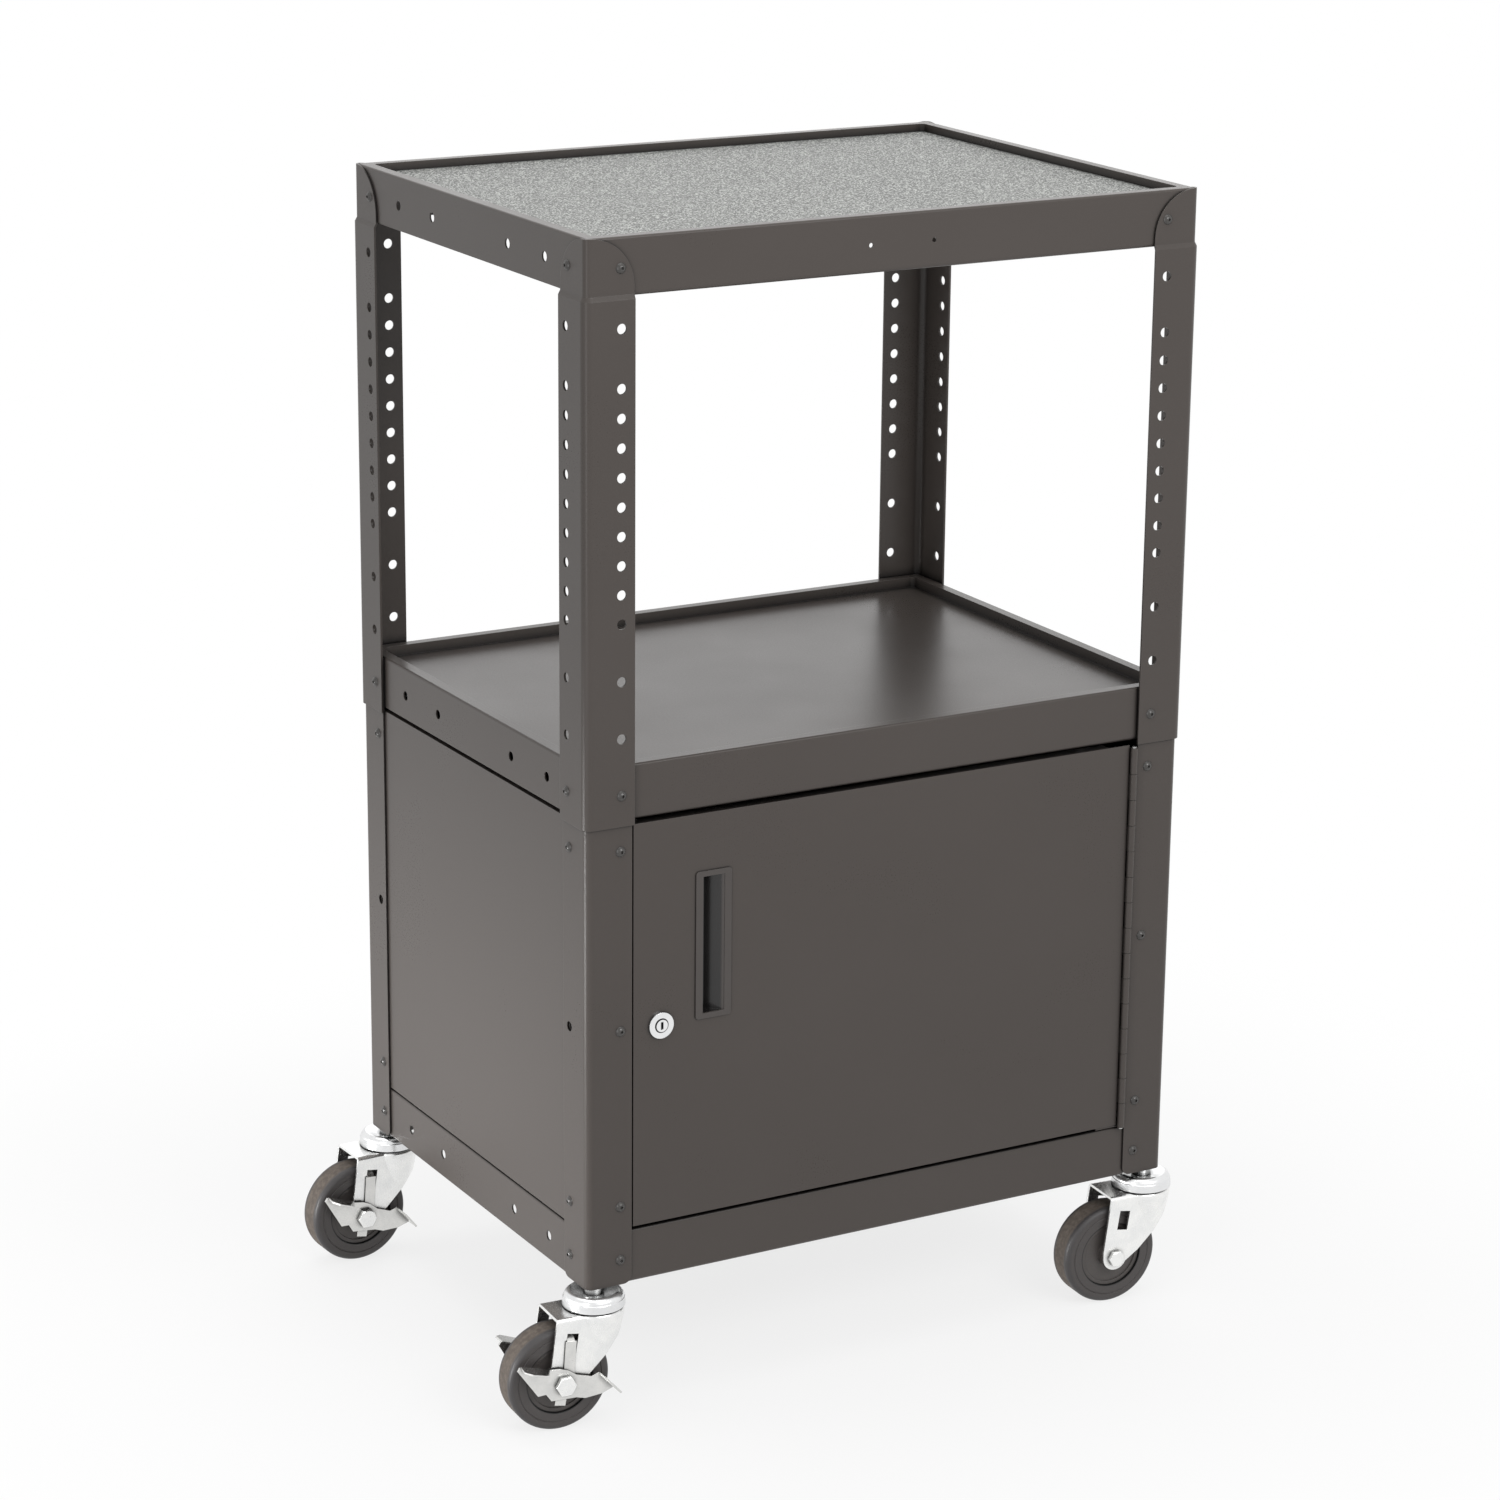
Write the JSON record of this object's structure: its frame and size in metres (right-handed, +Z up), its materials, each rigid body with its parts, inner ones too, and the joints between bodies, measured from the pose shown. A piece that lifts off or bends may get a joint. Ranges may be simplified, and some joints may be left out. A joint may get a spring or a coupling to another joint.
{
  "type": "projector cart",
  "caption": "Tall steel utility cart on swivel casters with a matted top shelf, an open middle shelf and a lockable cabinet below, for a projector and its equipment.",
  "frame": {"origin": "on the floor, under the middle of the box round the whole cart, casters trailing to the left", "axes": "+Z up, -Y out of the door, +X to the right when facing the door; the hinge is on the right"},
  "size_m": [0.7059, 0.5082, 1.067],
  "materials": {
    "charcoal_paint": "charcoal powder coat, soft satin",
    "shelf_mat": "pebbled matte sheet, speckled grey",
    "black_pull": "black moulded plastic, semi-gloss",
    "chrome": "bright nickel-chrome plate",
    "zinc_plate": "bright zinc plate, pressed sheet",
    "zinc_lever": "bright zinc plate, pressed sheet",
    "black_screw": "black coated steel, satin",
    "machined_steel": "turned steel",
    "wheel_hub": "dark grey moulded plastic",
    "wheel_tyre": "grey-black rubber, worn matte tread"
  },
  "bodies": {
    "cabinet": {"top_shelf": "charcoal_paint", "middle_shelf": "charcoal_paint", "bottom_shelf": "charcoal_paint", "top_mat": "shelf_mat", "fl_upper_post": "charcoal_paint", "fr_upper_post": "charcoal_paint", "rl_upper_post": "charcoal_paint", "rr_upper_post": "charcoal_paint", "fl_lower_post": "charcoal_paint", "fr_lower_post": "charcoal_paint", "rl_lower_post": "charcoal_paint", "rr_lower_post": "charcoal_paint", "left_panel": "charcoal_paint", "right_panel": "charcoal_paint", "back_panel": "charcoal_paint", "hinge_post_leaf": "charcoal_paint", "hinge_pin": "machined_steel", "strike_plate": "zinc_plate", "shelf_screws": "black_screw", "shelf_nuts": "zinc_plate", "panel_screws": "black_screw", "panel_nuts": "zinc_plate", "caster_brackets": "zinc_plate", "caster_stems": "zinc_plate", "caster_caps": "chrome", "swivel_bearings": "machined_steel"},
    "door": {"door_panel": "charcoal_paint", "door_pull": "black_pull", "hinge_door_leaf": "charcoal_paint", "lock_body": "chrome", "lock_nut": "zinc_plate"},
    "lock": {"lock_plug": "chrome", "lock_cam": "zinc_plate"},
    "fl_caster": {"fl_fork": "zinc_plate", "fl_axle": "zinc_plate", "fl_axle_sleeve": "machined_steel", "fl_brake_spring": "zinc_lever"},
    "fl_wheel": {"fl_hub": "wheel_hub", "fl_tyre": "wheel_tyre"},
    "fl_brake": {"fl_brake_lever": "zinc_lever"},
    "fl_far_brake": {"fl_far_brake_lever": "zinc_lever"},
    "fr_caster": {"fr_fork": "zinc_plate", "fr_axle": "zinc_plate", "fr_axle_sleeve": "machined_steel"},
    "fr_wheel": {"fr_hub": "wheel_hub", "fr_tyre": "wheel_tyre"},
    "rl_caster": {"rl_fork": "zinc_plate", "rl_axle": "zinc_plate", "rl_axle_sleeve": "machined_steel", "rl_brake_spring": "zinc_lever"},
    "rl_wheel": {"rl_hub": "wheel_hub", "rl_tyre": "wheel_tyre"},
    "rl_brake": {"rl_brake_lever": "zinc_lever"},
    "rr_caster": {"rr_fork": "zinc_plate", "rr_axle": "zinc_plate", "rr_axle_sleeve": "machined_steel"},
    "rr_wheel": {"rr_hub": "wheel_hub", "rr_tyre": "wheel_tyre"}
  },
  "joints": [
    {"name": "door_hinge", "type": "hinge", "parent": "cabinet", "child": "door", "pos_m": [0.28775, -0.2272, 0.367], "axis": [0, 0, 1], "range_deg": [0, 170]},
    {"name": "lock_turn", "type": "hinge", "parent": "door", "child": "lock", "pos_m": [-0.2055, -0.2252, 0.3674], "axis": [0, 1, 0], "range_deg": [0, 90]},
    {"name": "fl_swivel", "type": "hinge", "parent": "cabinet", "child": "fl_caster", "pos_m": [-0.2651, -0.212, 0.112], "axis": [0, 0, 1], "continuous": true},
    {"name": "fl_wheel_spin", "type": "hinge", "parent": "fl_caster", "child": "fl_wheel", "pos_m": [-0.30412, -0.20948, 0.0483], "axis": [-0.0645, -0.9979, 0], "continuous": true},
    {"name": "fl_brake_turn", "type": "hinge", "parent": "fl_caster", "child": "fl_brake", "pos_m": [-0.30412, -0.20948, 0.0483], "axis": [-0.0645, -0.9979, 0], "range_deg": [0, 24]},
    {"name": "fl_far_brake_turn", "type": "hinge", "parent": "fl_caster", "child": "fl_far_brake", "pos_m": [-0.30412, -0.20948, 0.0483], "axis": [-0.0645, -0.9979, 0], "range_deg": [0, 24]},
    {"name": "fr_swivel", "type": "hinge", "parent": "cabinet", "child": "fr_caster", "pos_m": [0.3245, -0.212, 0.112], "axis": [0, 0, 1], "continuous": true},
    {"name": "fr_wheel_spin", "type": "hinge", "parent": "fr_caster", "child": "fr_wheel", "pos_m": [0.28548, -0.20948, 0.0483], "axis": [-0.0645, -0.9979, 0], "continuous": true},
    {"name": "rl_swivel", "type": "hinge", "parent": "cabinet", "child": "rl_caster", "pos_m": [-0.2651, 0.2216, 0.112], "axis": [0, 0, 1], "continuous": true},
    {"name": "rl_wheel_spin", "type": "hinge", "parent": "rl_caster", "child": "rl_wheel", "pos_m": [-0.30417, 0.22003, 0.0483], "axis": [0.0401, -0.9992, 0], "continuous": true},
    {"name": "rl_brake_turn", "type": "hinge", "parent": "rl_caster", "child": "rl_brake", "pos_m": [-0.30417, 0.22003, 0.0483], "axis": [0.0401, -0.9992, 0], "range_deg": [0, 24]},
    {"name": "rr_swivel", "type": "hinge", "parent": "cabinet", "child": "rr_caster", "pos_m": [0.3245, 0.2216, 0.112], "axis": [0, 0, 1], "continuous": true},
    {"name": "rr_wheel_spin", "type": "hinge", "parent": "rr_caster", "child": "rr_wheel", "pos_m": [0.28542, 0.22296, 0.0483], "axis": [-0.0349, -0.9994, 0], "continuous": true}
  ]
}
